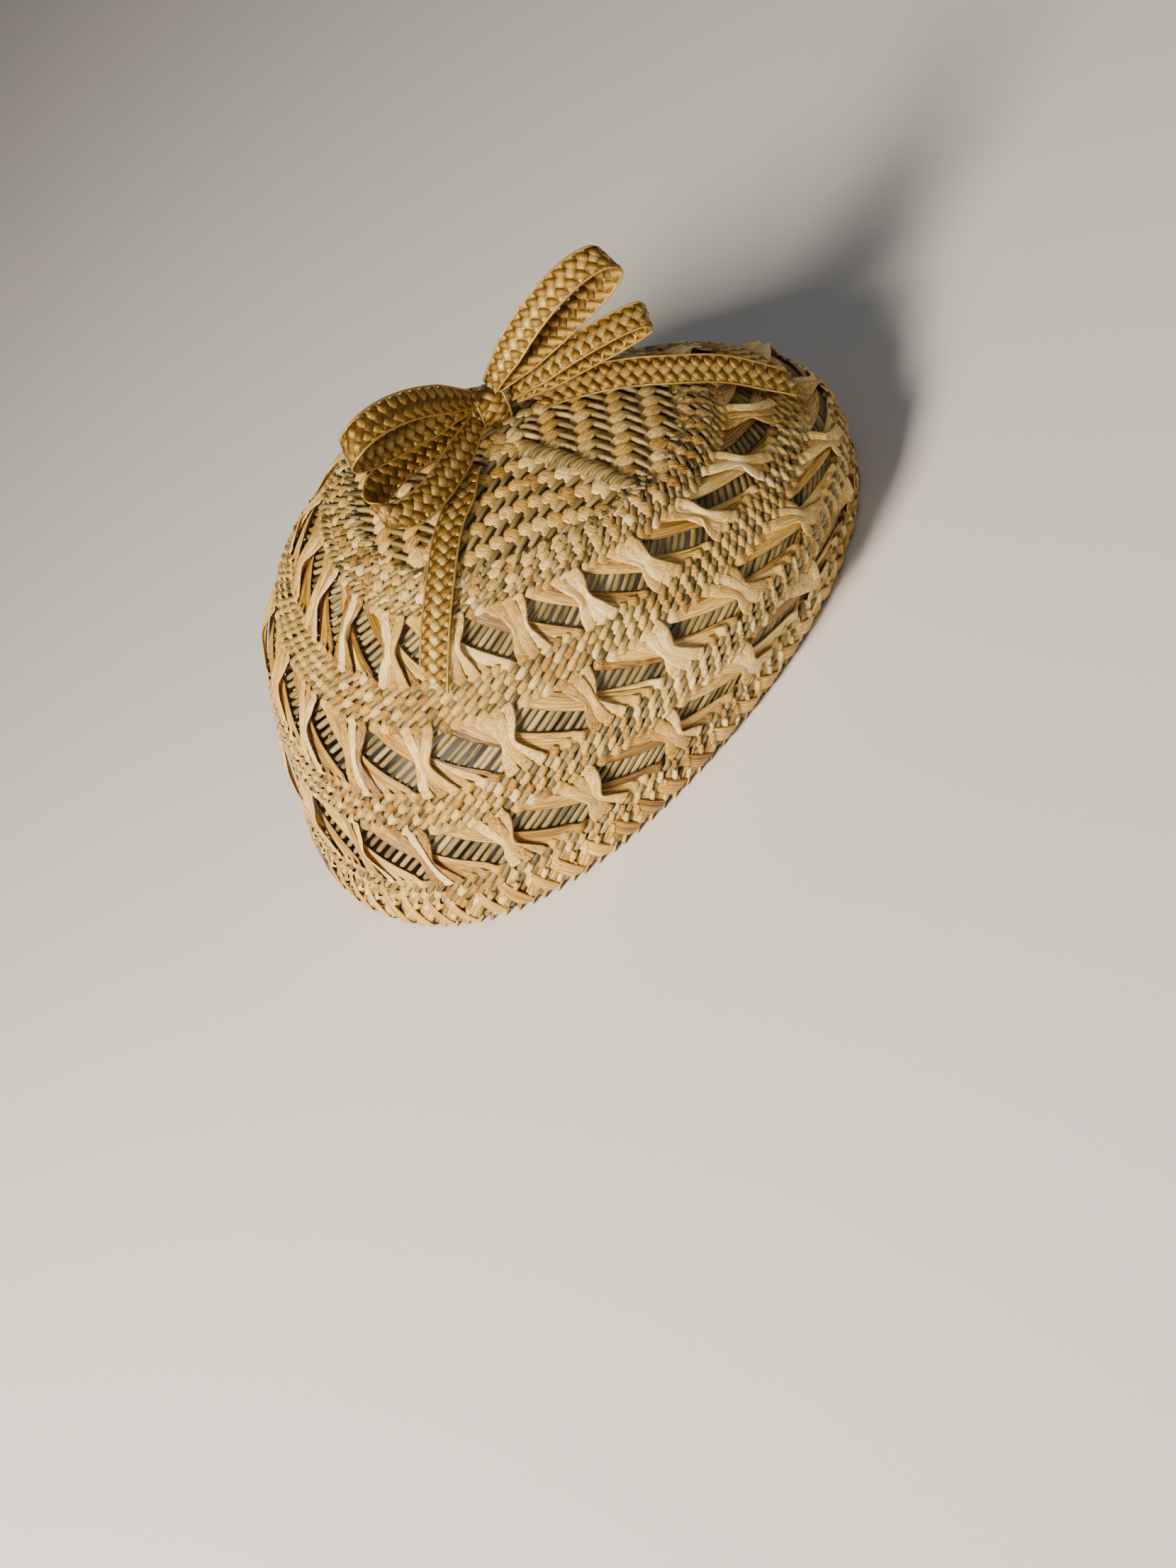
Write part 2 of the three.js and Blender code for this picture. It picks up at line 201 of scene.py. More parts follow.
def straw_point(angle, arc):
    """A point of the plait's outer face."""
    arc = np.clip(arc, 0, ARC_LENGTH)
    angle, arc = np.broadcast_arrays(np.asarray(angle, float), np.asarray(arc, float))
    radius = np.interp(arc, MERIDIAN_CURVE[0], MERIDIAN_CURVE[1])
    height = np.interp(arc, MERIDIAN_CURVE[0], MERIDIAN_CURVE[2])
    along = arc / ARC_LENGTH
    plan = np.ones_like(arc)
    for share, toward, lobes, fades in LOBES:
        plan = plan + share * np.cos(lobes * np.radians(angle - toward)) * ((1 - along) if fades else 1)
    lean = np.maximum(height / MERIDIAN[0][1], 0)
    x = radius * plan * np.cos(np.radians(angle)) + LEAN[0] * lean
    y = radius * plan * np.sin(np.radians(angle)) + LEAN[1] * lean
    sloped = np.clip((along - SLOPE_START) / (1 - SLOPE_START), 0, 1) ** SLOPE_CURVE
    z = height + sloped * (RIM_SLOPE[0] * x + RIM_SLOPE[1] * y)
    return np.stack([x, y, z], -1) @ LEVEL.T + np.array([*PLAN_SHIFT, RIM_LIFT])


def straw_normal(angle, arc):
    """The plait's outward direction."""
    arc = np.clip(arc, 0.6, ARC_LENGTH - 0.4)
    outward = straw_point(angle, arc + 0.4) - straw_point(angle, arc - 0.4)
    turned = straw_point(angle + 0.5, arc) - straw_point(angle - 0.5, arc)
    normal = np.cross(outward, turned)
    return normal / np.linalg.norm(normal, axis=-1, keepdims=True)


def over_straw(angle, arc, lift):
    """A point at a height over the plait's outer face."""
    return straw_point(angle, arc) + straw_normal(angle, arc) * np.asarray(lift, float)[..., None]


class Bundle:
    """Strands that one piece is made of: lines with an outward direction, a girth and a tint."""

    def __init__(self):
        self.points = []
        self.outward = []
        self.girth = []
        self.tint = []
        self.along = []

    def add(self, points, outward, girth, tint):
        heading = np.gradient(points, axis=0)
        heading /= np.linalg.norm(heading, axis=1, keepdims=True)
        outward = outward - heading * np.sum(outward * heading, axis=1, keepdims=True)
        outward = outward / np.linalg.norm(outward, axis=1, keepdims=True)
        steps = np.linalg.norm(np.diff(points, axis=0), axis=1)
        self.points.append(points * MM)
        self.outward.append(outward)
        self.girth.append(np.broadcast_to(girth, len(points)))
        self.tint.append(np.broadcast_to(tint, len(points)))
        self.along.append(np.concatenate([[0], np.cumsum(steps)]))

    def on_straw(self, angle, arc, lift, girth, tint, tilt=0):
        """A strand over the straw. tilt turns its flat face about its own line, in degrees."""
        lift = np.broadcast_to(lift, np.shape(arc))
        points = over_straw(angle, arc, lift)
        normal = straw_normal(angle, arc)
        across = np.cross(np.gradient(points, axis=0), normal)
        across /= np.linalg.norm(across, axis=1, keepdims=True)
        tilt = np.radians(np.broadcast_to(tilt, np.shape(arc)))[:, None]
        self.add(points, normal * np.cos(tilt) + across * np.sin(tilt), girth, tint)


def add_node(tree, kind, links=(), **settings):
    """A node with its settings. Links are (input, value or another node's output) pairs."""
    node = tree.nodes.new(kind)
    for name, value in settings.items():
        setattr(node, name, value)
    for socket, value in links:
        if isinstance(value, bpy.types.NodeSocket):
            tree.links.new(value, node.inputs[socket])
        else:
            node.inputs[socket].default_value = value
    return node


def maths(tree, operation, first, second, **settings):
    """A maths node's output."""
    links = [(0, first), (1, second)]
    return add_node(tree, "ShaderNodeMath", links, operation=operation, **settings).outputs[0]


def strand_tree():
    """Geometry Nodes: sweep a flattened, cupped section along every line of a bundle."""
    tree = bpy.data.node_groups.new("plaited_strand", "GeometryNodeTree")
    sockets = {}
    for name, kind in (
        ("Geometry", "NodeSocketGeometry"),
        ("Sides", "NodeSocketInt"),
        ("Width", "NodeSocketFloat"),
        ("Thickness", "NodeSocketFloat"),
        ("Cup", "NodeSocketFloat"),
        ("Material", "NodeSocketMaterial"),
    ):
        sockets[name] = tree.interface.new_socket(name, in_out="INPUT", socket_type=kind).identifier
    tree.interface.new_socket("Geometry", in_out="OUTPUT", socket_type="NodeSocketGeometry")
    given = add_node(tree, "NodeGroupInput").outputs

    ring = add_node(
        tree, "GeometryNodeCurvePrimitiveCircle",
        [("Resolution", given["Sides"]), ("Radius", 1.0)],
    )
    position = add_node(tree, "GeometryNodeInputPosition").outputs[0]
    place = add_node(tree, "ShaderNodeSeparateXYZ", [(0, position)]).outputs
    across = add_node(
        tree, "GeometryNodeStoreNamedAttribute",
        [("Geometry", ring.outputs["Curve"]), ("Name", "across"), ("Value", place["Y"])],
        data_type="FLOAT", domain="POINT",
    )
    deep = maths(tree, "MULTIPLY", place["X"], given["Thickness"])
    square = maths(tree, "MULTIPLY", place["Y"], place["Y"])
    sag = maths(tree, "MULTIPLY", square, given["Cup"])
    depth = maths(tree, "SUBTRACT", deep, sag)
    wide = maths(tree, "MULTIPLY", place["Y"], given["Width"])
    section_place = add_node(tree, "ShaderNodeCombineXYZ", [("X", depth), ("Y", wide)])
    section = add_node(
        tree, "GeometryNodeSetPosition",
        [("Geometry", across.outputs[0]), ("Position", section_place.outputs[0])],
    )

    outward = add_node(
        tree, "GeometryNodeInputNamedAttribute", [("Name", "outward")], data_type="FLOAT_VECTOR"
    )
    girth = add_node(tree, "GeometryNodeInputNamedAttribute", [("Name", "girth")], data_type="FLOAT")
    line = add_node(tree, "GeometryNodeMeshToCurve", [("Mesh", given["Geometry"])])
    facing = add_node(
        tree, "GeometryNodeSetCurveNormal",
        [("Curve", line.outputs[0]), ("Normal", outward.outputs["Attribute"])], mode="FREE",
    )
    swept = add_node(
        tree, "GeometryNodeCurveToMesh",
        [
            ("Curve", facing.outputs[0]), ("Profile Curve", section.outputs[0]),
            ("Scale", girth.outputs["Attribute"]), ("Fill Caps", True),
        ],
    )
    smooth = add_node(tree, "GeometryNodeSetShadeSmooth", [("Geometry", swept.outputs[0])])
    real = add_node(tree, "GeometryNodeRealizeInstances", [("Geometry", smooth.outputs[0])])
    dressed = add_node(
        tree, "GeometryNodeSetMaterial",
        [("Geometry", real.outputs[0]), ("Material", given["Material"])],
    )
    add_node(tree, "NodeGroupOutput", [(0, dressed.outputs[0])])
    return tree, sockets


STRAND_TREE, STRAND_SOCKETS = strand_tree()


def sweep(name, bundle, sides, width, thickness, cup, material):
    """A piece made of a bundle's strands, as one plain mesh that stays above the floor."""
    counts = [len(points) for points in bundle.points]
    starts = np.concatenate([[0], np.cumsum(counts)])
    edges = np.concatenate([
        np.stack([np.arange(a, b - 1), np.arange(a + 1, b)], 1) for a, b in zip(starts, starts[1:])
    ])
    lines = bpy.data.meshes.new(name + "_lines")
    lines.from_pydata(np.concatenate(bundle.points), edges, [])
    for attribute, kind, field, values in (
        ("outward", "FLOAT_VECTOR", "vector", bundle.outward),
        ("girth", "FLOAT", "value", bundle.girth),
        ("tint", "FLOAT", "value", bundle.tint),
        ("along", "FLOAT", "value", bundle.along),
    ):
        data = lines.attributes.new(attribute, kind, "POINT").data
        data.foreach_set(field, np.concatenate(values).astype(np.float32).ravel())
    guide = bpy.data.objects.new(name + "_guide", lines)
    bpy.context.scene.collection.objects.link(guide)
    modifier = guide.modifiers.new("strands", "NODES")
    modifier.node_group = STRAND_TREE
    for socket, value in (
        ("Sides", sides),
        ("Width", width / 2 * MM),
        ("Thickness", thickness / 2 * MM),
        ("Cup", cup * MM),
        ("Material", material),
    ):
        modifier[STRAND_SOCKETS[socket]] = value
    graph = bpy.context.evaluated_depsgraph_get()
    mesh = bpy.data.meshes.new_from_object(guide.evaluated_get(graph), depsgraph=graph)
    bpy.data.objects.remove(guide)
    bpy.data.meshes.remove(lines)
    places = np.empty(3 * len(mesh.vertices), np.float32)
    mesh.vertices.foreach_get("co", places)
    places[2::3] = np.maximum(places[2::3], 0)
    mesh.vertices.foreach_set("co", places)
    mesh.name = name
    piece = bpy.data.objects.new(name, mesh)
    bpy.context.scene.collection.objects.link(piece)
    return piece


def linear(code):
    """A colour from its sRGB hex value."""
    parts = [int(code[i:i + 2], 16) / 255 for i in (1, 3, 5)]
    return [p / 12.92 if p <= 0.04045 else ((p + 0.055) / 1.055) ** 2.4 for p in parts] + [1]


OWN_STREAKS = 61.0  # sets strands of nearly one tint far apart in the streaks


def strand_material(name, stops, roughness, metallic, streak, ridges, relief, streak_range):
    """A strand's finish: colours by its tint, streaked along its fibres, with fine ridges."""
    material = bpy.data.materials.new(name)
    material.use_nodes = True
    tree = material.node_tree
    shader = tree.nodes["Principled BSDF"]
    tint = add_node(tree, "ShaderNodeAttribute", attribute_name="tint").outputs["Fac"]
    along = add_node(tree, "ShaderNodeAttribute", attribute_name="along").outputs["Fac"]
    across = add_node(tree, "ShaderNodeAttribute", attribute_name="across").outputs["Fac"]
    fibre_along = maths(tree, "MULTIPLY", along, 1 / streak)
    fibre_across = maths(tree, "MULTIPLY", across, ridges)
    own = maths(tree, "MULTIPLY", tint, OWN_STREAKS)
    fibre_place = add_node(
        tree, "ShaderNodeCombineXYZ", [("X", fibre_along), ("Y", fibre_across), ("Z", own)]
    )
    fibre = add_node(
        tree, "ShaderNodeTexNoise",
        [("Vector", fibre_place.outputs[0]), ("Scale", 1.0), ("Detail", 3.0), ("Roughness", 0.6)],
    )
    spread = add_node(
        tree, "ShaderNodeMapRange",
        [("Value", fibre.outputs["Fac"]), ("From Min", 0.3), ("From Max", 0.7),
         ("To Min", -streak_range), ("To Max", streak_range)],
    )
    shade = maths(tree, "ADD", tint, spread.outputs[0], use_clamp=True)
    ramp = add_node(tree, "ShaderNodeValToRGB", [("Fac", shade)])
    points = ramp.color_ramp.elements
    while len(points) < len(stops):
        points.new(0.5)
    for point, (place, code) in zip(points, stops):
        point.position = place
        point.color = linear(code)
    tree.links.new(ramp.outputs["Color"], shader.inputs["Base Color"])
    rough = add_node(
        tree, "ShaderNodeMapRange",
        [("Value", fibre.outputs["Fac"]), ("To Min", roughness - 0.12), ("To Max", roughness + 0.12)],
    )
    tree.links.new(rough.outputs[0], shader.inputs["Roughness"])
    bump = add_node(
        tree, "ShaderNodeBump",
        [("Height", fibre.outputs["Fac"]), ("Strength", 0.6), ("Distance", relief * MM)],
    )
    tree.links.new(bump.outputs[0], shader.inputs["Normal"])
    shader.inputs["Metallic"].default_value = metallic
    return material


# Split wheat straw: flat, fibrous, a faint gloss, cream to golden tan; the orange-brown dark end of its
# ramp gives the painted shade where strips dip under, and the pale end the painted highlight where they
# ride over.
STRAW = strand_material(
    "split_straw",
    [(0, "#3f2507"), (0.25, "#8f6420"), (0.5, "#c4953f"), (0.75, "#e6bd66"), (1, "#ffe6a6")],
    roughness=0.36, metallic=0, streak=24, ridges=7, relief=0.8, streak_range=0.36,
)
# Round rush: olive to greenish tan, smooth and matte, blotched along its length.
RUSH = strand_material(
    "round_rush",
    [(0, "#453c1c"), (0.35, "#7a693a"), (0.65, "#99834e"), (1, "#bba26c")],
    roughness=0.5, metallic=0, streak=7, ridges=1.4, relief=0.2, streak_range=0.25,
)
# Gold braid: lustrous twisted cord, deep gold, with pale painted glints on the strands' crests.
BRAID = strand_material(
    "gold_braid_cord",
    [(0, "#3d2907"), (0.4, "#84611c"), (0.7, "#b98f3a"), (1, "#f8e4a4")],
    roughness=0.3, metallic=0.5, streak=9, ridges=9, relief=0.3, streak_range=0.2,
)


def strip_angle(arc):
    """How far a strip has turned from where it starts."""
    return table(STRIP_TURN, arc)


def stake_turn(arc):
    """How far a stake has turned back from where it starts."""
    places = np.linspace(PLAIT_START - 2, ARC_LENGTH, 400)
    rate = table(STAKE_TURN_RATE, places)
    turned = np.concatenate([[0], np.cumsum((rate[1:] + rate[:-1]) / 2 * np.diff(places))])
    return np.interp(arc, places, turned)


def crossings(arc):
    """How many stakes a strip has passed, counted round the ring."""
    return (strip_angle(arc) + stake_turn(arc)) / SLOT_ANGLE


def openness(arc):
    """1 in the openwork, and 0 where strips and stakes are plaited."""
    return sum(ease((OPENWORK_HALF - np.abs(arc - middle)) / OPENWORK_EASE) for middle, _ in OPENWORK)


def flattened(wave):
    """A wave with longer crests, as a strand lies over two others."""
    return np.tanh(1.6 * wave) / math.tanh(1.6)


def wander(arc):
    """A slow drift of a strand to and fro, never the same twice."""
    phase = random.uniform(0, 2 * math.pi, 2)
    return np.sin(arc / 13 + phase[0]) + 0.6 * np.sin(arc / 6.1 + phase[1])


def outer_strips(first, last, step=0.7):
    """The plait's strips between two arcs: woven, then crossing in bunches at each openwork ring."""
    bundle = Bundle()
    for slot in range(SLOTS):
        breadth = random.uniform(0.9, 1.12)
        arc = np.arange(first, last, step)
        place = np.full_like(arc, slot)
        at = slot
        open_lift = np.full_like(arc, -1)
        tilt = np.zeros_like(arc)
        for middle, start in OPENWORK:
            order = (at - start) % (2 * BUNCH)
            move = BUNCH if order < BUNCH else -BUNCH
            share = (arc - (middle - OPENWORK_HALF)) / (2 * OPENWORK_HALF)
            over = move < 0
            beside = order % BUNCH - 1
            waist = np.exp(-((arc - middle) / (6.5 if over else 7.5)) ** 2)
            gathered = random.uniform(0.72, 0.98) if over else random.uniform(0.55, 0.85)
            exchange = 0.55 * np.clip(share, 0, 1) + 0.45 * ease(share)
            place = place + move * exchange - beside * gathered * waist
            at += move
            near = np.abs(arc - middle) < OPENWORK_HALF + 3
            lift_here = (-0.5 + 0.9 * waist if over else -1.9) + 0.35 * beside * random.choice([-1, 1])
            open_lift = np.where(near, lift_here, open_lift)
            tilt = tilt + waist * (beside * 22 + random.normal(0, 12)) * (1 if over else 0.5)
        passed = crossings(arc)
        twill = STRIP_LIFT + 1.15 * flattened(np.cos(math.pi / 2 * (passed + 2 * place - 0.5)))
        plain = STRIP_LIFT + 1.35 * np.cos(math.pi * passed)
        border = ease((arc - BORDER_START) / BORDER_EASE)
        plain = plain + border * (0.5 + 0.5 * np.cos(math.pi * passed))
        woven = np.where(arc < TWILL_END, twill, plain)
        opened = openness(arc)
        tucked = ease((PLAIT_START + PLAIT_TUCK - arc) / PLAIT_TUCK)
        lift = opened * open_lift + (1 - opened) * woven - 2.6 * tucked
        angle = SLOT_ANGLE * place + strip_angle(arc) + 0.25 * wander(arc)
        girth = table(STRIP_GIRTH, arc) * breadth
        # A random tone per strip with a slow drift, plus painted shade where the strip dips under and a
        # painted highlight where it rides high.
        tint = random.normal(0.5, 0.14) + 0.05 * wander(arc) + 0.11 * np.clip(lift + 1.2, -1.5, 1.5)
        bundle.on_straw(angle, arc, lift, girth, np.clip(tint, 0.03, 1), tilt)
    return bundle


def outer_stakes(step=1.0):
    """The plait's stakes, from under the mat's edge to the rim. They lie low behind the openwork."""
    bundle = Bundle()
    for slot in range(SLOTS):
        arc = np.arange(PLAIT_START, PLAIT_END, step)
        passed = crossings(arc)
        twill = STAKE_LIFT - 0.8 * flattened(np.cos(math.pi / 2 * (2 * slot - passed - 0.5)))
        plain = STAKE_LIFT - 0.9 * np.cos(math.pi * passed)
        woven = np.where(arc < TWILL_END, twill, plain)
        opened = openness(arc)
        tucked = ease((PLAIT_START + PLAIT_TUCK - arc) / PLAIT_TUCK)
        lift = opened * STAKE_LIFT_OPEN + (1 - opened) * woven - 2.2 * tucked
        angle = SLOT_ANGLE * slot - stake_turn(arc) + 0.3 * wander(arc)
        girth = table(STAKE_GIRTH, arc) * random.uniform(0.92, 1.08)
        bundle.on_straw(angle, arc, lift, girth, np.clip(random.normal(0.5, 0.2), 0, 1))
    return bundle


def mat_strands():
    """The square mat at the top: stakes from one mitre and strips from the next, in a twill."""
    strips = Bundle()
    stakes = Bundle()
    lines = int(MAT_REACH / MAT_PITCH)
    for quarter in range(4):
        mitre = math.radians(MITRE + 90 * quarter)
        along_mitre = np.array([math.cos(mitre), math.sin(mitre)])
        along_next = np.array([math.sin(mitre), -math.cos(mitre)])
        for line in range(lines):
            offset = (line + 0.5) * MAT_PITCH
            run = np.arange(-1.6, math.sqrt(MAT_REACH ** 2 - offset ** 2), 0.62)
            if len(run) < 8:
                continue
            count = run / MAT_PITCH - 0.5
            tuck = -2.2 * ease((0.4 - run) / 2)
            for bundle, fixed, running, sign in (
                (strips, along_next, along_mitre, 1),
                (stakes, along_mitre, along_next, -1),
            ):
                drift = 0.25 * wander(run)
                plan = np.outer(offset + drift, fixed) + np.outer(run, running)
                arc = np.hypot(plan[:, 0], plan[:, 1])
                angle = np.degrees(np.arctan2(plan[:, 1], plan[:, 0]))
                wave = flattened(np.cos(math.pi / 2 * (count + line - 0.5)))
                if sign > 0:
                    lift = STRIP_LIFT + 1.2 * wave + tuck
                    girth = 0.92 * random.uniform(0.92, 1.1)
                    # A random tone per strip, plus a painted highlight where it rides over a stake and
                    # painted shade where it dips under.
                    tint = np.clip(random.normal(0.52, 0.14) + 0.14 * wave, 0.03, 1)
                else:
                    lift = STAKE_LIFT - 0.8 * wave + tuck
                    girth = 0.92
                    tint = np.clip(random.normal(0.5, 0.2), 0, 1)
                bundle.on_straw(angle, arc, lift, girth, tint)
    seam(strips, stakes)
    cut_ends(stakes)
    return strips, stakes


def seam(strips, stakes):
    """The seam along one mitre: strips turned back over it, with the ends of stakes between."""
    mitre = math.radians(MITRE)
    along = np.array([math.cos(mitre), math.sin(mitre)])
    aside = np.array([-math.sin(mitre), math.cos(mitre)])
    for place in np.arange(SEAM_START, SEAM_END, SEAM_PITCH):
        for bundle, shift, reach, lift, girth, tone in (
            (strips, 0, np.linspace(-3.4, 3.4, 12), 0.6, 0.46, 0.36),
            (stakes, SEAM_PITCH / 2, np.linspace(-4.6, 1.8, 8), 0.7, 0.8, 0.3),
        ):
            here = place + shift + 0.3 * reach + random.normal(0, 0.2)
            plan = np.outer(here, along) + np.outer(reach, aside)
            arc = np.hypot(plan[:, 0], plan[:, 1])
            angle = np.degrees(np.arctan2(plan[:, 1], plan[:, 0]))
            height = lift - 2.4 * (reach / 3.4) ** 2
            tint = np.clip(random.normal(tone, 0.12), 0.05, 1)
            bundle.on_straw(angle, arc, np.maximum(height, -1.6), girth, tint)


def cut_ends(stakes):
    """Ends of stakes cut off short: a few proud ones round the mat's edge, and a tuft at the seam."""
    for slot in range(SLOTS):
        if random.uniform() > CUT_END_SHARE:
            continue
        start = SLOT_ANGLE * (slot + random.uniform(-0.3, 0.3))
        arc = np.linspace(0, random.uniform(1.6, 3), 5) + PLAIT_START + random.uniform(0.5, 2.5)
        height = np.linspace(-1.4, random.uniform(0.3, 0.9), 5)
        stakes.on_straw(start - 0.5 * (arc - PLAIT_START), arc, height, 0.7, random.uniform(0, 0.5))
    for _ in range(TUFT_ENDS):
        arc = np.linspace(0, random.uniform(4, 7), 6) + SEAM_END - random.uniform(0, 4)
        angle = MITRE + random.uniform(-6, 6) + random.uniform(-0.7, 0.7) * (arc - arc[0])
        height = np.linspace(-1.2, random.uniform(0.4, 1.6), 6)
        stakes.on_straw(angle, arc, height, 0.62, random.uniform(0.1, 0.7))


def rim_loops(count=60):
    """Strips that come out of the border both ways, cross, turn over the rim and go up inside."""
    route = np.array([  # angle on from the loop's start, arc, lift
        (0, 161.5, -2.6), (1.8, 165, 0.1), (3.6, 168.5, 1.2), (5.3, 172, 1.0), (6.4, 174.2, 0.2),
        (6.9, 175.2, -1.8), (7.1, 174, -3.9), (7, 170, -4.6), (6.4, 165, -4.2),
    ])
    bundle = Bundle()
    fine = np.linspace(0, len(route) - 1, 40)
    outside = np.clip((6 - fine) / 2, 0, 1)
    for way, under in ((1, 0), (-1, 0.9)):
        for loop in range(count):
            turn, arc, lift = (np.interp(fine, np.arange(len(route)), column) for column in route.T)
            start = 360 / count * (loop + random.uniform(-0.14, 0.14))
            angle = start + way * turn
            lift = lift - under * outside * np.sin(np.pi * np.clip(fine / 5, 0, 1))
            outward = straw_normal(angle, arc)
            fold = np.radians(np.interp(fine, [3, 4, 5, 6, 8], [0, 35, 90, 150, 180]))[:, None]
            outward = outward * np.cos(fold) + np.array([0, 0, -1.0]) * np.sin(fold)
            swell = random.uniform(0.62, 0.82) * (1 + 0.2 * np.sin(np.pi * np.clip(fine / 5, 0, 1)))
            tint = np.clip(random.normal(0.5, 0.15), 0.05, 1)
            bundle.add(over_straw(angle, arc, lift), outward, swell, tint)
    return bundle


def bow_frame():
    """The bow's place on the crown, and its axes as columns: along, side and up."""
    upward = straw_normal(KNOT["angle"], KNOT["arc"])
    heading = math.radians(KNOT["heading"])
    side = np.cross(upward, [math.cos(heading), math.sin(heading), 0])
    side /= np.linalg.norm(side)
    axes = np.stack([np.cross(side, upward), side, upward], 1)
    return over_straw(KNOT["angle"], KNOT["arc"], KNOT["lift"]), axes


def loop_stations(azimuth, rise, roll, start, side, up, length, open, shear, droop, steps=240):
    """Centres, across directions and widths of the braid along one loop."""
    azimuth, rise, roll = np.radians([azimuth, rise, roll])
    line = np.array([np.cos(rise) * np.cos(azimuth), np.cos(rise) * np.sin(azimuth), np.sin(rise)])
    upward = np.array([0, 0, 1.0])
    level_side = np.cross(upward, line)
    level_side /= np.linalg.norm(level_side)
    top = np.cross(line, level_side)
    across = level_side * np.cos(roll) + top * np.sin(roll)
    face = np.cross(line, across)
    turn = np.linspace(0, math.pi, steps)
    out = start + (length - start) * np.sin(turn)
    apart = np.sin(2 * turn)
    root = np.interp(turn, [0, math.pi / 2 - 0.12, math.pi / 2 + 0.12, math.pi], [1, 1, -1, -1])
    centres = (
        np.outer(out, line) + np.array([0, side, up])
        + np.outer(open * apart + root * LEG_GAP * np.sign(open) / 2, face)
        + np.outer(shear * apart, across) - np.outer(droop * (out / length) ** 2, top)
    )
    gathered = np.clip((out - start) / GATHER_LENGTH, 0, 1)
    widths = BRAID_WIDTH * (ROOT_WIDTH + (1 - ROOT_WIDTH) * gathered)
    place, axes = bow_frame()
    return place + centres @ axes.T, np.broadcast_to(axes @ across, centres.shape), widths


def knot_stations(steps=120):
    """The turn of braid round the gathered loops."""
    turn = np.linspace(0, 2 * math.pi, steps)
    barrel = math.radians(KNOT["turn"])
    axis = np.array([math.cos(barrel), math.sin(barrel), 0])
    level = np.array([-math.sin(barrel), math.cos(barrel), 0])
    centres = (
        np.outer(KNOT_HALF_DEPTH * np.cos(turn), level)
        + np.outer(KNOT_HALF_HEIGHT * np.sin(turn), [0, 0, 1.0])
    )
    place, axes = bow_frame()
    across = np.broadcast_to(axes @ axis, centres.shape)
    return place + centres @ axes.T, across, np.full(steps, BRAID_WIDTH)


def tail_stations(slant, route, steps=200):
    """A tail along its route over the straw, run on far enough for its slanted cut."""
    route = np.array(route, float)
    points = np.vstack([2 * route[0] - route[1], route, 2 * route[-1] - route[-2]])
    share = np.linspace(0, len(route) - 1 - 1e-6, steps)
    step = share.astype(int)
    t = (share - step)[:, None]
    a, b, c, d = (points[step + k] for k in range(4))
    square = (2 * a - 5 * b + 4 * c - d) * t ** 2
    cube = (3 * b - a - 3 * c + d) * t ** 3
    smooth = 0.5 * (2 * b + (c - a) * t + square + cube)
    ahead = (smooth[-1] - smooth[-2]) / (smooth[-1, 1] - smooth[-2, 1])
    reach = np.arange(0.5, abs(slant) / 2 + 0.5, 0.5)
    smooth = np.vstack([smooth, smooth[-1] + np.outer(reach, ahead)])
    angle, arc, lift, roll = smooth.T
    centres = over_straw(angle, arc, lift)
    normal = straw_normal(angle, arc)
    across = np.cross(normal, np.gradient(centres, axis=0))
    across /= np.linalg.norm(across, axis=1, keepdims=True)
    roll = np.radians(roll)[:, None]
    across = across * np.cos(roll) + normal * np.sin(roll)
    return centres, across, np.full(len(centres), BRAID_WIDTH)


def braid(name, stations, slant=0):
    """A flat braid: satin strands plaited over a thin core from edge to edge, with corded edges."""
    centres, across, widths = stations
    steps = np.linalg.norm(np.diff(centres, axis=0), axis=1)
    length = np.concatenate([[0], np.cumsum(steps)])
    fine = np.arange(0, length[-1], BRAID_STEP)
    centre = np.stack([np.interp(fine, length, centres[:, k]) for k in range(3)], 1)
    side = np.stack([np.interp(fine, length, across[:, k]) for k in range(3)], 1)
    width = np.interp(fine, length, widths)
    face = np.cross(np.gradient(centre, axis=0), side)
    face /= np.linalg.norm(face, axis=1, keepdims=True)
    end = length[-1] - abs(slant) / 2
    strands = Bundle()
    for strand in range(BRAID_STRANDS):
        share = (fine / BRAID_PERIOD + strand / BRAID_STRANDS) % 1
        place = 4 * np.abs(share - 0.5) - 1
        way = np.where(share > 0.5, 1, -1)
        crest = way * np.cos(2 * math.pi * place)
        edge = np.clip((np.abs(place) - BRAID_TURN) / (1 - BRAID_TURN), 0, 1)
        lift = BRAID_RELIEF * crest * (1 - edge)
        reach = place * (width - BRAID_INSET) / 2
        points = centre + side * reach[:, None] + face * lift[:, None]
        past = np.nonzero(fine > end + place * slant / 2)[0]
        kept = past[0] if slant and len(past) else len(fine)
        girth = width / BRAID_WIDTH * (1 - BRAID_NARROW * edge)
        # Painted sheen makes strands running one way lighter than the other. Painted highlights sit on
        # each float's crest, with painted shade where it dips.
        tint = np.clip(0.5 + 0.16 * way + 0.14 * crest, 0, 1)
        strands.add(points[:kept], face[:kept], girth[:kept], tint[:kept])
    cords = Bundle()
    for edge in (-1, 1):
        kept = np.searchsorted(fine, end + edge * slant / 2) if slant else len(fine)
        points = centre + side * (edge * (width - BRAID_EDGE) / 2)[:, None]
        cords.add(points[:kept], face[:kept], 1.0, 0.68)
    core = Bundle()
    kept = np.searchsorted(fine, end - abs(slant) / 2) if slant else len(fine)
    core.add(centre[:kept], face[:kept], (width / BRAID_WIDTH)[:kept], 0.25)
    return (
        sweep(name + "_core", core, 6, BRAID_WIDTH - 2 * BRAID_EDGE, BRAID_CORE, 0, BRAID),
        sweep(name + "_braid", strands, 6, *BRAID_STRAND, 0, BRAID),
        sweep(name + "_edges", cords, 6, BRAID_EDGE, BRAID_EDGE, 0, BRAID),
    )


def settle(piece, slot, *nodes):
    """The piece stands for its solids and rides on the hat."""
    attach(piece, "root")
    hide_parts(*nodes)


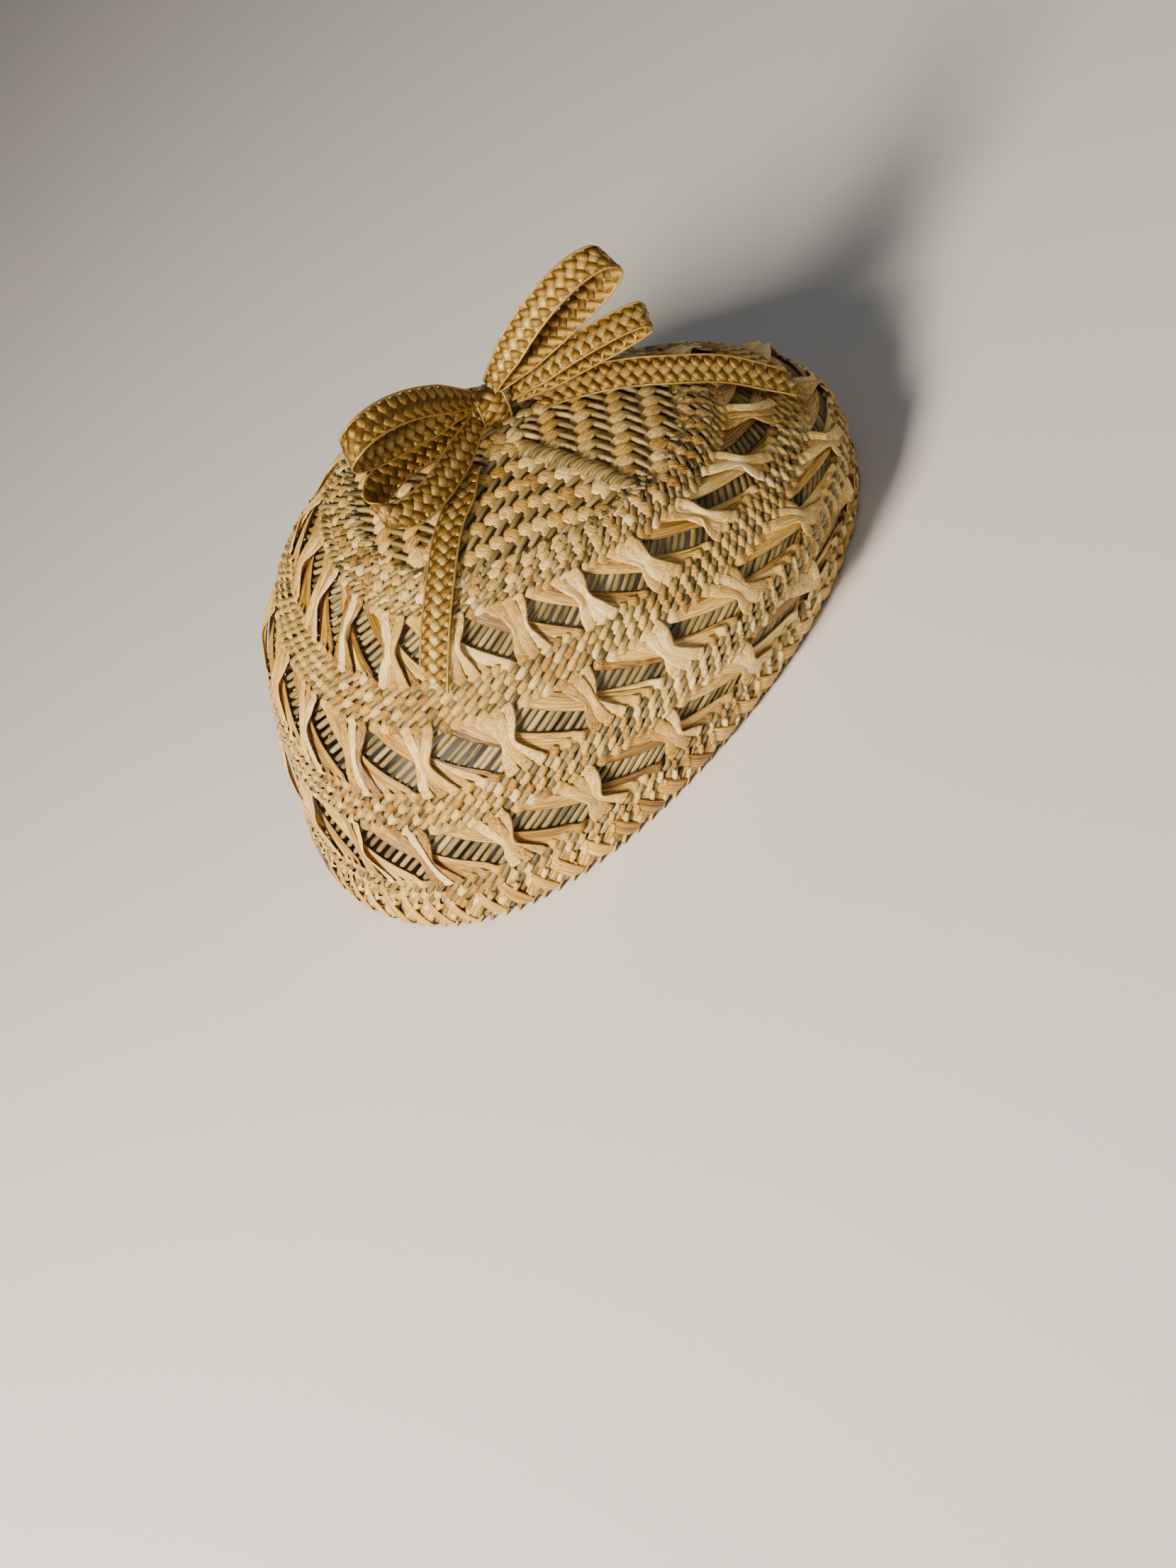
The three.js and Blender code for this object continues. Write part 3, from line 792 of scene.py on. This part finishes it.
mat_strips, mat_stakes = mat_strands()
strip = (8, STRIP_WIDTH, STRIP_THICKNESS, STRIP_CUP, STRAW)
stake = (6, STAKE_THICKNESS, STAKE_THICKNESS, 0, RUSH)
settle(sweep("top_strips", mat_strips, *strip), "straw", "straw_body")
settle(sweep("top_stakes", mat_stakes, *stake), "straw", "straw_body")
settle(sweep("side_stakes", outer_stakes(), *stake), "straw", "straw_body")
for ring, first, last in STRIP_STRETCHES:
    random = np.random.default_rng(STRIP_SEED)  # each strip carries on from the stretch before
    settle(sweep("side_strips_" + ring, outer_strips(first, last), *strip), "straw", "straw_body")
settle(sweep("rim_loops", rim_loops(), *strip), "rim_straw", "rim_border")

for name, stations, slant in (
    ("bow_knot", knot_stations(), 0),
    *((name, loop_stations(**shape), 0) for name, shape in LOOPS.items()),
    *((name, tail_stations(slant, route), slant) for name, (slant, route) in TAILS.items()),
):
    for piece in braid(name, stations, slant):
        settle(piece, "gold_braid", name)


def floor():
    """A plain pale floor that fills the view."""
    size = 4
    mesh = bpy.data.meshes.new("floor")
    level = -0.0004
    corners = [(x, y, level) for x, y in ((-size, -size), (size, -size), (size, size), (-size, size))]
    mesh.from_pydata(corners, [], [(0, 1, 2, 3)])
    material = bpy.data.materials.new("pale_floor")
    material.use_nodes = True
    shader = material.node_tree.nodes["Principled BSDF"]
    shader.inputs["Base Color"].default_value = linear("#d9d6d0")
    shader.inputs["Roughness"].default_value = 0.8
    mesh.materials.append(material)
    ground = bpy.data.objects.new("floor", mesh)
    bpy.context.scene.collection.objects.link(ground)


def soft_light(name, place, target, size, power, colour):
    """A square soft light that faces its target."""
    lamp = bpy.data.lights.new(name, "AREA")
    lamp.size = size
    lamp.energy = power
    lamp.color = linear(colour)[:3]
    light = bpy.data.objects.new(name, lamp)
    light.location = place
    light.rotation_euler = (Vector(target) - Vector(place)).to_track_quat("-Z", "Y").to_euler()
    bpy.context.scene.collection.objects.link(light)


def camera():
    """The view that the photograph was taken from."""
    lens = bpy.data.cameras.new("view")
    lens.sensor_fit = "VERTICAL"
    lens.sensor_height = SENSOR
    lens.lens = FOCAL_PIXELS / IMAGE_HEIGHT * SENSOR
    eye = bpy.data.objects.new("view", lens)
    turn = Matrix((CAMERA_RIGHT, CAMERA_UP, CAMERA_BACK)).transposed()
    eye.matrix_world = Matrix.Translation(Vector(CAMERA_PLACE) * MM) @ turn.to_4x4()
    bpy.context.scene.collection.objects.link(eye)
    bpy.context.scene.camera = eye


floor()
soft_light("window", (0.3, -1.0, 0.75), (0, 0, 0.05), 0.4, 40, "#fff4e2")
soft_light("fill", (0.9, 0.3, 0.9), (0, 0, 0.05), 0.9, 2.6, "#f2f5ff")
world = bpy.data.worlds.new("studio")
world.use_nodes = True
world.node_tree.nodes["Background"].inputs["Color"].default_value = linear("#e8e8e8")
world.node_tree.nodes["Background"].inputs["Strength"].default_value = 0.1
bpy.context.scene.world = world
camera()
